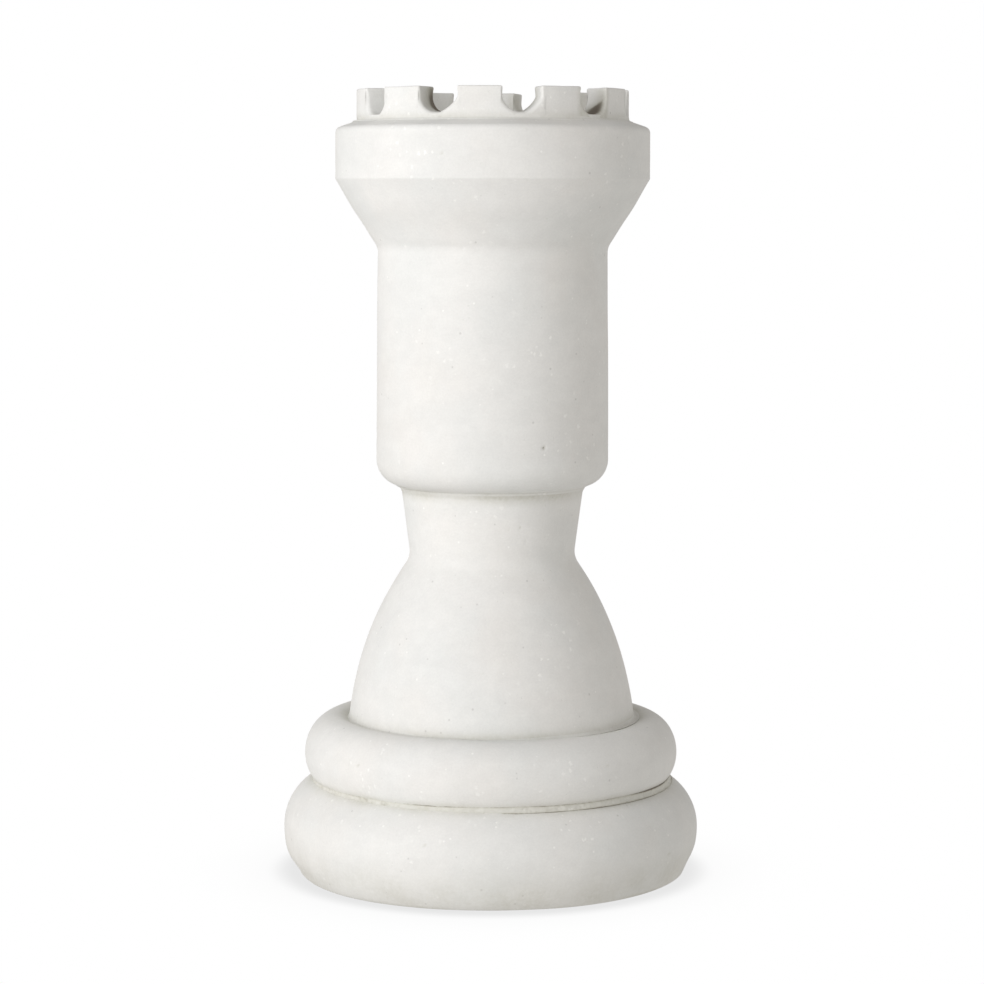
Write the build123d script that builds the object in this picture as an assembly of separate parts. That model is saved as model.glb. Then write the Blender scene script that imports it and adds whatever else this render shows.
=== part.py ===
from build123d import *

import os
from collections import namedtuple
from math import asin, cos, degrees, radians, sin, sqrt, tan

# Giant lawn chess rook, built as stacked hollow castings on a tie rod.
#
# Five cast-stone sections register in one another with spigots and dowels, are bedded
# on thin joints, and are clamped together by a threaded rod from the well of the crown
# down to a plate in the base. Millimetres. The origin is on the axis, at the level on
# which the rubber feet stand, and +Z is up. The middle of one merlon faces -Y.

# ---- overall ----
TOTAL_H = 610.0
FOOT_PROUD = 2.0            # the feet hold the stone this far off the ground
CUT_PAST = 1.0              # cutters run this far past the faces they cut

# ---- lower base ring ----
BASE_R = 162.5              # largest radius of the whole piece
BASE_WAIST_Z = 35.8         # height of that largest radius
BASE_UPPER_ARC_R = 42.0     # round above the largest radius
BASE_TUCK_R = 17.5          # half axes of the elliptical tuck under it
BASE_TUCK_Z = 37.0
SEAM_Z = 72.5               # underside of the visible bed between the two base rings
SEAM_T = 2.5
SEAM_R = 139.5

# ---- upper base ring ----
UPPER_R = 146.0
UPPER_CREST_R = 121.5       # radius and height of the ring's highest line
UPPER_CREST_Z = 123.3
UPPER_WAIST_Z = 94.0
UPPER_TUCK_Z = 28.0         # lower half axis of the ring's section
BELL_SEAT_R = 112.5         # where the ring's crest dips to meet the bell
BELL_SEAT_Z = 119.5

# ---- bell and neck ----
BED_T = 1.0                 # thickness of the hidden beds
BELL_FOOT_R = 112.1
BELL_TOP_R = 70.0           # end of the bell's long arc
BELL_TOP_Z = 239.0
BELL_ARC_R = 269.0
NECK_LOW_R = 64.0           # corner between bell and neck, before its round
NECK_LOW_Z = 248.3
NECK_ROUND_R = 18.0
NECK_TOP_R = 70.6
NECK_FLARE = 4.0            # height of the small flare that meets the tower
COLLAR_Z = 303.0            # top of the neck

# ---- tower ----
TOWER_LOW_R = 90.8
TOWER_HIGH_R = 89.1
TOWER_ROUND_R = 20.5        # round at the foot of the tower
TOWER_UNDERSIDE = 0.5       # flat left inside that round
CONE_FOOT_Z = 489.0
CONE_FOOT_ROUND_R = 14.0
BAND_R = 121.6
BAND_LOW_Z = 541.7
BAND_HIGH_Z = 581.4
BAND_LOW_ROUND_R = 2.0
BAND_HIGH_ROUND_R = 5.0
SHOULDER_R = 105.6
SHOULDER_Z = 586.0          # top face of the tower, where the battlement sits

# ---- battlement ----
CROWN_R = 105.0
CROWN_WELL_R = 80.0
MERLONS = 10
NOTCH_FLOOR_Z = 590.5
NOTCH_ROUND_R = 11.0        # round bottom of a notch
NOTCH_SPLAY = 14.0          # degrees that each side of a notch leans out
CROWN_EDGE_R = 1.6          # every upper edge of the merlons is eased

# ---- hollow, spigots and sockets ----
LOWER_BORE_R = 88.0
RING_BORE_R = 72.0
NECK_BORE_R = 42.0
TOWER_BORE_R = 62.0
BELL_CAVITY_R = 80.0
SPIGOT_L = 9.0
SOCKET_DEPTH = 10.0
SPIGOT_GAP = 0.5            # play all round a spigot or a loose disc in its seat
BASE_SPIGOT_R = 84.0
BELL_SPIGOT_R = 92.0
COLLAR_SPIGOT_R = 54.0
CROWN_SPIGOT_R = 88.0
TOWER_THROAT_TOP_Z = 325.0  # the narrow throat above the collar ends here
TOWER_BORE_LOW_Z = 350.0    # and has widened to the bore here

# ---- tie rod and its ends ----
ROD_R = 8.0                 # M16 stud, thread drawn as a plain bar
ROD_LOW_Z = 9.0
ROD_HIGH_Z = 567.0
THREAD_GAP = 0.05
NUT_FLATS = 24.0
NUT_H = 13.0
LOCK_NUT_H = 8.0
WASHER_R = 15.0
WASHER_T = 3.0
PLATE_T = 6.0
GASKET_T = 2.0
PLATE_HOLE_R = 8.8
PLATE_DRAIN_R = 5.0
PLATE_DRAIN_AT = 0.6        # where the drain holes stand, as a share of the radius
DRAINS = 4
ROD_CHAMFER = 1.5
NUT_CHAMFER_AT = 0.97       # a nut's chamfer starts at this share of its flats
TOP_LEDGE_Z = 540.0
TOP_PLATE_R = 72.5
TOP_SEAT_R = 73.0
BOTTOM_LEDGE_Z = 44.0
BOTTOM_PLATE_R = 86.0

# ---- floor of the well ----
WELL_FLOOR_Z = 570.0
WELL_FLOOR_T = 10.0
WELL_FLOOR_R = 79.5
WELL_DRAIN_RING_R = 52.0
WELL_DRAIN_R = 4.0
WELL_FLOOR_CHAMFER = 0.8

# ---- base cover and feet ----
COVER_RECESS_R = 106.0
COVER_R = 105.4
COVER_LOW_Z = 2.5
COVER_T = 4.0
COVER_SCREWS = 6
COVER_SCREW_RING_R = 97.0
COVER_SCREW_R = 2.0
COVER_SCREW_HEAD_R = 4.0
COVER_SCREW_HEAD_H = 2.3
COVER_SCREW_TOP_Z = 18.0
COVER_INSERT_R = 3.5
COVER_DRAIN_RING_R = 60.0
COVER_DRAIN_R = 4.0
COVER_CHAMFER = 0.6
COVER_KEY = 2.5             # across flats of the screws' key recess
FEET = 4
FOOT_RING_R = 127.0
FOOT_R = 16.0
FOOT_H = 8.0
FOOT_POCKET_GAP = 0.4
FOOT_SCREW_R = 2.5
FOOT_SCREW_HEAD_R = 4.8
FOOT_SCREW_HEAD_Z = 1.0
FOOT_SEAT_Z = 4.0
FOOT_SCREW_TOP_Z = 21.0
FOOT_INSERT_R = 4.0
FOOT_EDGE_R = 1.0
FOOT_KEY = 4.0
SCREW_CLEARANCE = 0.2       # round a shank or a countersunk head
HEAD_CLEARANCE = 0.4        # round a cheese head in its counterbore
INSERT_SPARE = 1.0          # an insert is this much deeper than its screw
HEX_KEY_DEPTH = 1.4

FOOT_START = 45.0           # degrees from +X to the first foot

# ---- levels that follow ----
UPPER_LOW_Z = SEAM_Z + SEAM_T
BELL_LOW_Z = BELL_SEAT_Z + BED_T
TOWER_LOW_Z = COLLAR_Z + BED_T
CROWN_LOW_Z = SHOULDER_Z + BED_T
COVER_TOP_Z = COVER_LOW_Z + COVER_T
TOP_PLATE_Z = TOP_LEDGE_Z + GASKET_T
TOP_WASHER_Z = TOP_PLATE_Z + PLATE_T
TOP_NUT_Z = TOP_WASHER_Z + WASHER_T
BOTTOM_PLATE_Z = BOTTOM_LEDGE_Z - GASKET_T - PLATE_T
BOTTOM_WASHER_Z = BOTTOM_PLATE_Z - WASHER_T
BOTTOM_NUT_Z = BOTTOM_WASHER_Z - NUT_H
LOCK_NUT_Z = BOTTOM_NUT_Z - LOCK_NUT_H

# ---- joints between the sections, as (lower face, upper face), and their dowels ----
BASE_JOINT = (SEAM_Z, UPPER_LOW_Z)
BELL_JOINT = (BELL_SEAT_Z, BELL_LOW_Z)
COLLAR_JOINT = (COLLAR_Z, TOWER_LOW_Z)
CROWN_JOINT = (SHOULDER_Z, CROWN_LOW_Z)
BED_SETBACK = 1.0           # hidden beds stop short of the faces they lie between
DOWEL_ROOM = 0.1            # round a dowel in its hole
DOWEL_END_ROOM = 0.5
DOWEL_CHAMFER = 0.6
Dowels = namedtuple("Dowels", "radius length ring_r count start")
BASE_DOWELS = Dowels(5.0, 48.0, 112.0, 4, 0.0)
BELL_DOWELS = Dowels(4.0, 38.0, 102.0, 4, 45.0)
COLLAR_DOWELS = Dowels(3.0, 38.0, 62.5, 4, 0.0)
CROWN_DOWELS = Dowels(2.5, 24.0, 96.5, 5, -90.0)


# ---------------------------------------------------------------- helpers
def turned(*pieces):
    """Revolve an outline about the axis.

    The outline is given in order as (radius, height) corners and arcs. Straight
    lines join what doesn't already touch, and close it.
    """
    edges = []
    start = None
    last = None
    for piece in pieces:
        is_corner = isinstance(piece, tuple)
        first_point = Vector(*piece) if is_corner else piece @ 0
        if last is None:
            start = first_point
        elif (first_point - last).length > 1e-6:
            edges.append(Line(last, first_point))
        if not is_corner:
            edges.extend(piece.edges())
        last = first_point if is_corner else piece @ 1
    edges.append(Line(last, start))
    return revolve(Plane.XZ * make_face(Wire(edges)), Axis.Z, 360)


def cylinder(radius, low, high, x=0.0, y=0.0):
    """Upright cylinder between two levels."""
    return Pos(x, y, (low + high) / 2) * Cylinder(radius, high - low)


def cone(low_r, high_r, low, high, x=0.0, y=0.0):
    """Upright frustum between two levels."""
    return Pos(x, y, (low + high) / 2) * Cone(low_r, high_r, high - low)


def ring(inner, outer, low, high):
    """Flat ring between two radii and two levels."""
    return cylinder(outer, low, high) - cylinder(inner, low - CUT_PAST, high + CUT_PAST)


def on_ring(radius, count, start=0.0):
    """Evenly spaced places on a circle, as (x, y)."""
    angles = [radians(start + 360.0 * i / count) for i in range(count)]
    return [(radius * cos(a), radius * sin(a)) for a in angles]


def drilled(body, radius, ring_r, count, low, high, start=0.0):
    """Body with a circle of upright holes cut between two levels."""
    for x, y in on_ring(ring_r, count, start):
        body -= cylinder(radius, low, high, x, y)
    return body


def ellipse_angle(level, centre_z, half_z):
    """Parameter angle, in degrees, at which an ellipse reaches a level."""
    return degrees(asin((level - centre_z) / half_z))


# ---------------------------------------------------------------- dowels and their holes
def dowel_span(spec, joint):
    """Lowest and highest level of a dowel centred on a joint."""
    middle = sum(joint) / 2
    return middle - spec.length / 2, middle + spec.length / 2


def dowel_drilled(body, spec, joint):
    """Body drilled for the dowels of a joint, with a little room all round."""
    low, high = dowel_span(spec, joint)
    low -= DOWEL_END_ROOM
    high += DOWEL_END_ROOM
    return drilled(body, spec.radius + DOWEL_ROOM, spec.ring_r, spec.count, low, high, spec.start)


def dowels(spec, joint):
    """The dowels of a joint, each with both ends chamfered."""
    low, high = dowel_span(spec, joint)
    pins = []
    for x, y in on_ring(spec.ring_r, spec.count, spec.start):
        pin = cylinder(spec.radius, low, high, x, y)
        pins.append(chamfer(pin.edges().filter_by(GeomType.CIRCLE), DOWEL_CHAMFER))
    return pins


# ---------------------------------------------------------------- cast sections
def lower_base_ring():
    """Thick round-edged ring that carries everything, open underneath."""
    tuck_start = ellipse_angle(FOOT_PROUD, BASE_WAIST_Z, BASE_TUCK_Z)
    tuck_centre = (BASE_R - BASE_TUCK_R, BASE_WAIST_Z)
    tuck = EllipticalCenterArc(tuck_centre, BASE_TUCK_R, BASE_TUCK_Z, tuck_start, arc_size=-tuck_start)
    round_size = ellipse_angle(SEAM_Z, BASE_WAIST_Z, BASE_UPPER_ARC_R)
    round_centre = (BASE_R - BASE_UPPER_ARC_R, BASE_WAIST_Z)
    upper_round = CenterArc(round_centre, BASE_UPPER_ARC_R, 0, round_size)
    socket_r = BASE_SPIGOT_R + SPIGOT_GAP
    body = turned(
        (COVER_RECESS_R, FOOT_PROUD),
        tuck,
        upper_round,
        (socket_r, SEAM_Z),
        (socket_r, SEAM_Z - SOCKET_DEPTH),
        (RING_BORE_R, SEAM_Z - SOCKET_DEPTH),
        (RING_BORE_R, BOTTOM_LEDGE_Z),
        (LOWER_BORE_R, BOTTOM_LEDGE_Z),
        (LOWER_BORE_R, COVER_TOP_Z),
        (COVER_RECESS_R, COVER_TOP_Z),
    )
    body = dowel_drilled(body, BASE_DOWELS, BASE_JOINT)
    insert_top = COVER_SCREW_TOP_Z + INSERT_SPARE
    body = drilled(body, COVER_INSERT_R, COVER_SCREW_RING_R, COVER_SCREWS, COVER_TOP_Z, insert_top)
    pocket_r = FOOT_R + FOOT_POCKET_GAP
    body = drilled(body, pocket_r, FOOT_RING_R, FEET, FOOT_PROUD - CUT_PAST, FOOT_H, FOOT_START)
    insert_top = FOOT_SCREW_TOP_Z + INSERT_SPARE
    return drilled(body, FOOT_INSERT_R, FOOT_RING_R, FEET, FOOT_H, insert_top, FOOT_START)


def upper_base_ring():
    """Round-edged ring between the base and the bell."""
    centre = (UPPER_CREST_R, UPPER_WAIST_Z)
    half_r = UPPER_R - UPPER_CREST_R
    tuck_start = ellipse_angle(UPPER_LOW_Z, UPPER_WAIST_Z, UPPER_TUCK_Z)
    tuck = EllipticalCenterArc(centre, half_r, UPPER_TUCK_Z, tuck_start, arc_size=-tuck_start)
    crest = EllipticalCenterArc(centre, half_r, UPPER_CREST_Z - UPPER_WAIST_Z, 0, arc_size=90)
    dip = UPPER_CREST_Z - BELL_SEAT_Z
    run = UPPER_CREST_R - BELL_SEAT_R
    dip_r = (run**2 + dip**2) / (2 * dip)
    dip_centre = (UPPER_CREST_R, UPPER_CREST_Z - dip_r)
    inner_dip = CenterArc(dip_centre, dip_r, 90, degrees(asin(run / dip_r)))
    socket_r = BELL_SPIGOT_R + SPIGOT_GAP
    body = turned(
        (BASE_SPIGOT_R, UPPER_LOW_Z - SPIGOT_L),
        (BASE_SPIGOT_R, UPPER_LOW_Z),
        tuck,
        crest,
        inner_dip,
        (socket_r, BELL_SEAT_Z),
        (socket_r, BELL_SEAT_Z - SOCKET_DEPTH),
        (RING_BORE_R, BELL_SEAT_Z - SOCKET_DEPTH),
        (RING_BORE_R, UPPER_LOW_Z - SPIGOT_L),
    )
    body = dowel_drilled(body, BASE_DOWELS, BASE_JOINT)
    return dowel_drilled(body, BELL_DOWELS, BELL_JOINT)


def bell_section():
    """Bell that sweeps up into the neck, hollow inside."""
    sweep = RadiusArc((BELL_FOOT_R, BELL_LOW_Z), (BELL_TOP_R, BELL_TOP_Z), -BELL_ARC_R)
    neck = FilletPolyline(
        (BELL_TOP_R, BELL_TOP_Z),
        (NECK_LOW_R, NECK_LOW_Z),
        (NECK_TOP_R, COLLAR_Z - NECK_FLARE),
        (NECK_TOP_R + NECK_FLARE / 2, COLLAR_Z),
        radius=[NECK_ROUND_R, NECK_FLARE],
    )
    socket_r = COLLAR_SPIGOT_R + SPIGOT_GAP
    cavity = RadiusArc((NECK_BORE_R, BELL_TOP_Z), (BELL_CAVITY_R, BELL_LOW_Z), BELL_ARC_R)
    body = turned(
        (BELL_SPIGOT_R, BELL_LOW_Z - SPIGOT_L),
        (BELL_SPIGOT_R, BELL_LOW_Z),
        sweep,
        neck,
        (socket_r, COLLAR_Z),
        (socket_r, COLLAR_Z - SOCKET_DEPTH),
        (NECK_BORE_R, COLLAR_Z - SOCKET_DEPTH),
        cavity,
        (BELL_CAVITY_R, BELL_LOW_Z - SPIGOT_L),
    )
    body = dowel_drilled(body, BELL_DOWELS, BELL_JOINT)
    return dowel_drilled(body, COLLAR_DOWELS, COLLAR_JOINT)


def tower_section():
    """Tower shaft, flared cone and upright band, with seats for what closes its top."""
    wall = FilletPolyline(
        (TOWER_LOW_R - TOWER_ROUND_R - TOWER_UNDERSIDE, TOWER_LOW_Z),
        (TOWER_LOW_R, TOWER_LOW_Z),
        (TOWER_HIGH_R, CONE_FOOT_Z),
        (BAND_R, BAND_LOW_Z),
        (BAND_R, BAND_HIGH_Z),
        (SHOULDER_R, SHOULDER_Z),
        radius=[TOWER_ROUND_R, CONE_FOOT_ROUND_R, BAND_LOW_ROUND_R, BAND_HIGH_ROUND_R],
    )
    socket_r = CROWN_SPIGOT_R + SPIGOT_GAP
    floor_seat_r = WELL_FLOOR_R + SPIGOT_GAP
    body = turned(
        (COLLAR_SPIGOT_R, TOWER_LOW_Z - SPIGOT_L),
        (COLLAR_SPIGOT_R, TOWER_LOW_Z),
        wall,
        (socket_r, SHOULDER_Z),
        (socket_r, SHOULDER_Z - SOCKET_DEPTH),
        (floor_seat_r, SHOULDER_Z - SOCKET_DEPTH),
        (floor_seat_r, WELL_FLOOR_Z),
        (TOP_SEAT_R, WELL_FLOOR_Z),
        (TOP_SEAT_R, TOP_LEDGE_Z),
        (TOWER_BORE_R, TOP_LEDGE_Z),
        (TOWER_BORE_R, TOWER_BORE_LOW_Z),
        (NECK_BORE_R, TOWER_THROAT_TOP_Z),
        (NECK_BORE_R, TOWER_LOW_Z - SPIGOT_L),
    )
    body = dowel_drilled(body, COLLAR_DOWELS, COLLAR_JOINT)
    return dowel_drilled(body, CROWN_DOWELS, CROWN_JOINT)


def notch_cutter(angle):
    """Round-bottomed slot through the battlement wall, open at the top."""
    splay = radians(NOTCH_SPLAY)
    side_x = NOTCH_ROUND_R * cos(splay)
    side_z = NOTCH_FLOOR_Z + NOTCH_ROUND_R * (1 - sin(splay))
    top_z = TOTAL_H + CUT_PAST
    top_x = side_x + (top_z - side_z) * tan(splay)
    edges = [
        ThreePointArc((side_x, side_z), (0, NOTCH_FLOOR_Z), (-side_x, side_z)),
        Line((-side_x, side_z), (-top_x, top_z)),
        Line((-top_x, top_z), (top_x, top_z)),
        Line((top_x, top_z), (side_x, side_z)),
    ]
    profile = Plane.XZ * make_face(Wire(edges))
    middle_r = (CROWN_R + CROWN_WELL_R) / 2
    wall = CROWN_R - CROWN_WELL_R
    slot = Pos(0, -middle_r, 0) * extrude(profile, wall, both=True)
    return Rot(0, 0, angle) * slot


def battlement_ring():
    """Ring of merlons that stands on the tower and walls the well."""
    body = turned(
        (CROWN_WELL_R, CROWN_LOW_Z - SPIGOT_L),
        (CROWN_SPIGOT_R, CROWN_LOW_Z - SPIGOT_L),
        (CROWN_SPIGOT_R, CROWN_LOW_Z),
        (CROWN_R, CROWN_LOW_Z),
        (CROWN_R, TOTAL_H),
        (CROWN_WELL_R, TOTAL_H),
    )
    pitch = 360.0 / MERLONS
    for i in range(MERLONS):
        body -= notch_cutter((i + 0.5) * pitch)
    top_edges = body.edges().filter_by(lambda edge: edge.center().Z > NOTCH_FLOOR_Z)
    body = fillet(top_edges, CROWN_EDGE_R)
    return dowel_drilled(body, CROWN_DOWELS, CROWN_JOINT)


def well_floor():
    """Cast disc that closes the top of the tower inside the battlement."""
    disc = cylinder(WELL_FLOOR_R, WELL_FLOOR_Z, WELL_FLOOR_Z + WELL_FLOOR_T)
    disc = chamfer(disc.edges().filter_by(GeomType.CIRCLE), WELL_FLOOR_CHAMFER)
    low = WELL_FLOOR_Z - CUT_PAST
    high = WELL_FLOOR_Z + WELL_FLOOR_T + CUT_PAST
    return drilled(disc, WELL_DRAIN_R, WELL_DRAIN_RING_R, DRAINS, low, high, FOOT_START)


# ---------------------------------------------------------------- beds
def bed(spigot_r, outer, joint, spec):
    """Thin layer of bedding compound round a spigot, pierced by the joint's dowels."""
    return dowel_drilled(ring(spigot_r + SPIGOT_GAP, outer, *joint), spec, joint)


# ---------------------------------------------------------------- tie rod and its ends
def tie_rod():
    """Threaded bar on the axis, with both ends chamfered."""
    bar = cylinder(ROD_R, ROD_LOW_Z, ROD_HIGH_Z)
    return chamfer(bar.edges().filter_by(GeomType.CIRCLE), ROD_CHAMFER)


def hex_nut(low, height):
    """Hexagon nut on the rod, its corners chamfered top and bottom."""
    high = low + height
    blank = Pos(0, 0, low) * extrude(RegularPolygon(NUT_FLATS / sqrt(3), 6), height)
    face_r = NUT_FLATS / 2 * NUT_CHAMFER_AT
    skirt_r = face_r + 2 * height
    blank &= cone(skirt_r, face_r, low, high)
    blank &= cone(face_r, skirt_r, low, high)
    return blank - cylinder(ROD_R + THREAD_GAP, low - CUT_PAST, high + CUT_PAST)


def washer(low):
    """Plain washer on the rod."""
    return ring(PLATE_HOLE_R, WASHER_R, low, low + WASHER_T)


def clamp_plate(radius, low):
    """Round steel plate with the rod's hole and four drain holes."""
    high = low + PLATE_T
    plate = ring(PLATE_HOLE_R, radius, low, high)
    drain_ring_r = radius * PLATE_DRAIN_AT
    return drilled(plate, PLATE_DRAIN_R, drain_ring_r, DRAINS, low - CUT_PAST, high + CUT_PAST)


# ---------------------------------------------------------------- base cover and feet
def base_cover():
    """Moulded disc that closes the base, countersunk for its screws, with drain holes."""
    disc = cylinder(COVER_R, COVER_LOW_Z, COVER_TOP_Z)
    disc = chamfer(disc.edges().filter_by(GeomType.CIRCLE), COVER_CHAMFER)
    low = COVER_LOW_Z - CUT_PAST
    high = COVER_TOP_Z + CUT_PAST
    disc = drilled(disc, COVER_DRAIN_R, COVER_DRAIN_RING_R, DRAINS, low, high)
    hole_r = COVER_SCREW_R + SCREW_CLEARANCE
    disc = drilled(disc, hole_r, COVER_SCREW_RING_R, COVER_SCREWS, low, high)
    mouth_r = COVER_SCREW_HEAD_R + SCREW_CLEARANCE
    sink_top = COVER_LOW_Z + COVER_SCREW_HEAD_H
    for x, y in on_ring(COVER_SCREW_RING_R, COVER_SCREWS):
        disc -= cone(mouth_r, hole_r, COVER_LOW_Z, sink_top, x, y)
    return disc


def hex_recess(across, low, x, y):
    """Hexagon key recess that opens downwards."""
    return Pos(x, y, low) * extrude(RegularPolygon(across / sqrt(3), 6), HEX_KEY_DEPTH)


def cover_screw(x, y):
    """Countersunk screw, driven from below."""
    head_top = COVER_LOW_Z + COVER_SCREW_HEAD_H
    head = cone(COVER_SCREW_HEAD_R, COVER_SCREW_R, COVER_LOW_Z, head_top, x, y)
    shank = cylinder(COVER_SCREW_R, head_top, COVER_SCREW_TOP_Z, x, y)
    return head + shank - hex_recess(COVER_KEY, COVER_LOW_Z, x, y)


def insert(radius, bore, low, high, x, y):
    """Threaded sleeve cast into the stone, closed at its inner end."""
    sleeve = cylinder(radius, low, high, x, y)
    return sleeve - cylinder(bore, low - CUT_PAST, high - INSERT_SPARE / 2, x, y)


def rubber_foot(x, y):
    """Round pad with a counterbore for its screw."""
    pad = cylinder(FOOT_R, 0, FOOT_H, x, y)
    pad = fillet(pad.edges().filter_by(GeomType.CIRCLE).sort_by(Axis.Z)[0], FOOT_EDGE_R)
    pad -= cylinder(FOOT_SCREW_R + SCREW_CLEARANCE, -CUT_PAST, FOOT_H + CUT_PAST, x, y)
    return pad - cylinder(FOOT_SCREW_HEAD_R + HEAD_CLEARANCE, -CUT_PAST, FOOT_SEAT_Z, x, y)


def foot_screw(x, y):
    """Cheese-head screw that holds a foot up in its pocket."""
    head = cylinder(FOOT_SCREW_HEAD_R, FOOT_SCREW_HEAD_Z, FOOT_SEAT_Z, x, y)
    shank = cylinder(FOOT_SCREW_R, FOOT_SEAT_Z, FOOT_SCREW_TOP_Z, x, y)
    return head + shank - hex_recess(FOOT_KEY, FOOT_SCREW_HEAD_Z, x, y)


# ---------------------------------------------------------------- the assembly
def sections():
    """The castings, from the ground up."""
    return {
        "lower_base_ring": lower_base_ring(),
        "upper_base_ring": upper_base_ring(),
        "bell_section": bell_section(),
        "tower_section": tower_section(),
        "battlement_ring": battlement_ring(),
        "well_floor": well_floor(),
    }


def beds_and_dowels():
    """What lies in the four joints between the castings."""
    return {
        "base_seam_bed": bed(BASE_SPIGOT_R, SEAM_R, BASE_JOINT, BASE_DOWELS),
        "bell_foot_bed": bed(BELL_SPIGOT_R, BELL_FOOT_R - BED_SETBACK, BELL_JOINT, BELL_DOWELS),
        "collar_bed": bed(COLLAR_SPIGOT_R, NECK_TOP_R - BED_SETBACK, COLLAR_JOINT, COLLAR_DOWELS),
        "battlement_bed": bed(CROWN_SPIGOT_R, CROWN_R - BED_SETBACK, CROWN_JOINT, CROWN_DOWELS),
        "base_dowels": dowels(BASE_DOWELS, BASE_JOINT),
        "bell_dowels": dowels(BELL_DOWELS, BELL_JOINT),
        "collar_dowels": dowels(COLLAR_DOWELS, COLLAR_JOINT),
        "battlement_dowels": dowels(CROWN_DOWELS, CROWN_JOINT),
    }


def clamping():
    """The rod and everything that it pulls together."""
    bottom_gasket_z = BOTTOM_LEDGE_Z - GASKET_T
    return {
        "tie_rod": tie_rod(),
        "top_gasket": ring(TOWER_BORE_R, TOP_PLATE_R, TOP_LEDGE_Z, TOP_PLATE_Z),
        "top_clamp_plate": clamp_plate(TOP_PLATE_R, TOP_PLATE_Z),
        "top_washer": washer(TOP_WASHER_Z),
        "top_nut": hex_nut(TOP_NUT_Z, NUT_H),
        "bottom_gasket": ring(RING_BORE_R, BOTTOM_PLATE_R, bottom_gasket_z, BOTTOM_LEDGE_Z),
        "bottom_clamp_plate": clamp_plate(BOTTOM_PLATE_R, BOTTOM_PLATE_Z),
        "bottom_washer": washer(BOTTOM_WASHER_Z),
        "bottom_nut": hex_nut(BOTTOM_NUT_Z, NUT_H),
        "bottom_lock_nut": hex_nut(LOCK_NUT_Z, LOCK_NUT_H),
    }


def underside():
    """Base cover, feet, and what fastens them."""
    screw_places = on_ring(COVER_SCREW_RING_R, COVER_SCREWS)
    foot_places = on_ring(FOOT_RING_R, FEET, FOOT_START)
    cover_bore = COVER_SCREW_R + THREAD_GAP
    cover_span = (COVER_TOP_Z, COVER_SCREW_TOP_Z + INSERT_SPARE)
    foot_bore = FOOT_SCREW_R + THREAD_GAP
    foot_span = (FOOT_H, FOOT_SCREW_TOP_Z + INSERT_SPARE)
    nodes = {
        "base_cover": base_cover(),
        "base_cover_screws": [cover_screw(*place) for place in screw_places],
        "base_cover_inserts": [
            insert(COVER_INSERT_R, cover_bore, *cover_span, *place) for place in screw_places
        ],
        "foot_screws": [foot_screw(*place) for place in foot_places],
        "foot_inserts": [insert(FOOT_INSERT_R, foot_bore, *foot_span, *place) for place in foot_places],
    }
    for number, place in enumerate(foot_places, start=1):
        nodes[f"rubber_foot_{number}"] = rubber_foot(*place)
    return nodes


def write_node(name, content):
    """Write one node: a single solid, or a group of identical separate ones."""
    items = content if isinstance(content, list) else [content]
    solids = [solid for item in items for solid in item.solids()]
    node = solids[0] if len(solids) == 1 else Compound(solids)
    node.label = name
    export_step(node, f"parts/{name}.step")


os.makedirs("parts", exist_ok=True)
for group in (sections(), beds_and_dowels(), clamping(), underside()):
    for node_name, node_content in group.items():
        write_node(node_name, node_content)
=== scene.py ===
import math
import random
from collections import namedtuple

import bpy
from mathutils import Matrix, Vector, noise


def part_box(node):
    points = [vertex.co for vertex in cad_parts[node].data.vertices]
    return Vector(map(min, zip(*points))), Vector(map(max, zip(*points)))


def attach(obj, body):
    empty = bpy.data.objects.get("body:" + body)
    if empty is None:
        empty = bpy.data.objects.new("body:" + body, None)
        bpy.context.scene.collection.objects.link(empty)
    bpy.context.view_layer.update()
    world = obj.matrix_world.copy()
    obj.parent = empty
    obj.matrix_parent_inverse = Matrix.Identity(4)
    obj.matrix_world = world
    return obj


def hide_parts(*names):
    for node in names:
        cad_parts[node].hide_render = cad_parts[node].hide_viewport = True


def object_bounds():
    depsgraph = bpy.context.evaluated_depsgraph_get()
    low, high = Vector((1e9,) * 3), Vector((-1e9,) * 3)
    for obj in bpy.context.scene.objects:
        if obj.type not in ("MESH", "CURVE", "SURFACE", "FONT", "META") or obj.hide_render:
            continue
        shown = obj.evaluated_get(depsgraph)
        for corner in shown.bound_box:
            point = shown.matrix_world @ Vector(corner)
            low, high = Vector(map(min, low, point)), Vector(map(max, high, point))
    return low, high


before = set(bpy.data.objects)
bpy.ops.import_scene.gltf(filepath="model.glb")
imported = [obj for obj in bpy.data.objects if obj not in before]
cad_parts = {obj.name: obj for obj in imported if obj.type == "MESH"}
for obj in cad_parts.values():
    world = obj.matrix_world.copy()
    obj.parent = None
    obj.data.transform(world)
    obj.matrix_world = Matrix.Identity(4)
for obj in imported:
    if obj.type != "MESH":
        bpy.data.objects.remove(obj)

# Looks of the giant lawn chess rook: sections of white cast stone with mortar in their joints.
# Lengths are in millimetres until a mesh is made. The main levels and outer radii are read from
# the CAD nodes, and the hidden radii repeat the CAD model's.
CAD_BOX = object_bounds()
MM = 0.001
SEED = 4107
STEP = 1.1                    # spacing of the points down a visible outline
FADE = 4.0                    # the stone's unevenness fades out over this length at an outline's ends


def span(node):
    """Lowest level, highest level and outer radius of a CAD node."""
    low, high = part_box(node)
    return low.z / MM, high.z / MM, high.x / MM


BASE_LOW, SEAM_LOW, BASE_R = span("lower_base_ring")
_, SEAM_HIGH, SEAM_R = span("base_seam_bed")
RING_SPIGOT_Z, RING_TOP, RING_R = span("upper_base_ring")
BELL_SPIGOT_Z, COLLAR, BELL_R = span("bell_section")
TOWER_SPIGOT_Z, SHOULDER, BAND_R = span("tower_section")
CROWN_SPIGOT_Z, CROWN_TOP, CROWN_R = span("battlement_ring")
FLOOR_LOW, FLOOR_HIGH, FLOOR_R = span("well_floor")

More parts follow.
